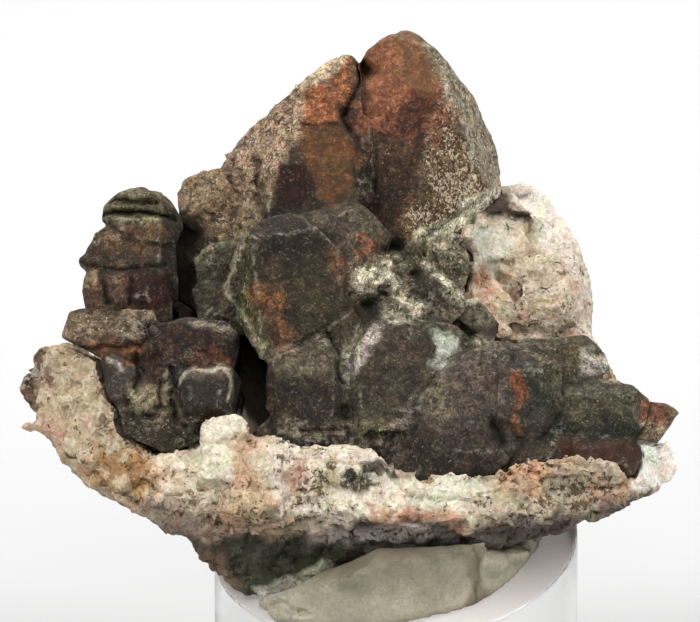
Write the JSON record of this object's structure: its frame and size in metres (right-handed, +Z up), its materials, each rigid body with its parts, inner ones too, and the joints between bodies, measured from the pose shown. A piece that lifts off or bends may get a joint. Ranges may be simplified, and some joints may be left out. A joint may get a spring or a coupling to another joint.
{
  "type": "hydrozincite specimen",
  "caption": "Zoned brown crystals crowded on a pale, rough matrix plate that leans back on grey putty over a clear slant-cut round stand.",
  "frame": {"origin": "centre of the clear round's bottom face", "axes": "+Z up, -Y towards the side the specimen is shown from, +X to the right of that side"},
  "size_m": [0.092, 0.0667, 0.098],
  "materials": {
    "brown_crystal": "finely drusy, matt",
    "dark_crystal": "finely drusy, matt to satin",
    "pale_matrix": "rough, granular",
    "putty": "matt",
    "clear_acrylic": "polished, clear"
  },
  "bodies": {
    "root": {"matrix": "pale_matrix", "crystal_cluster": "brown_crystal", "tower_crystals": "dark_crystal", "left_crystals": "dark_crystal", "putty": "putty", "acrylic_stand": "clear_acrylic"}
  },
  "joints": []
}
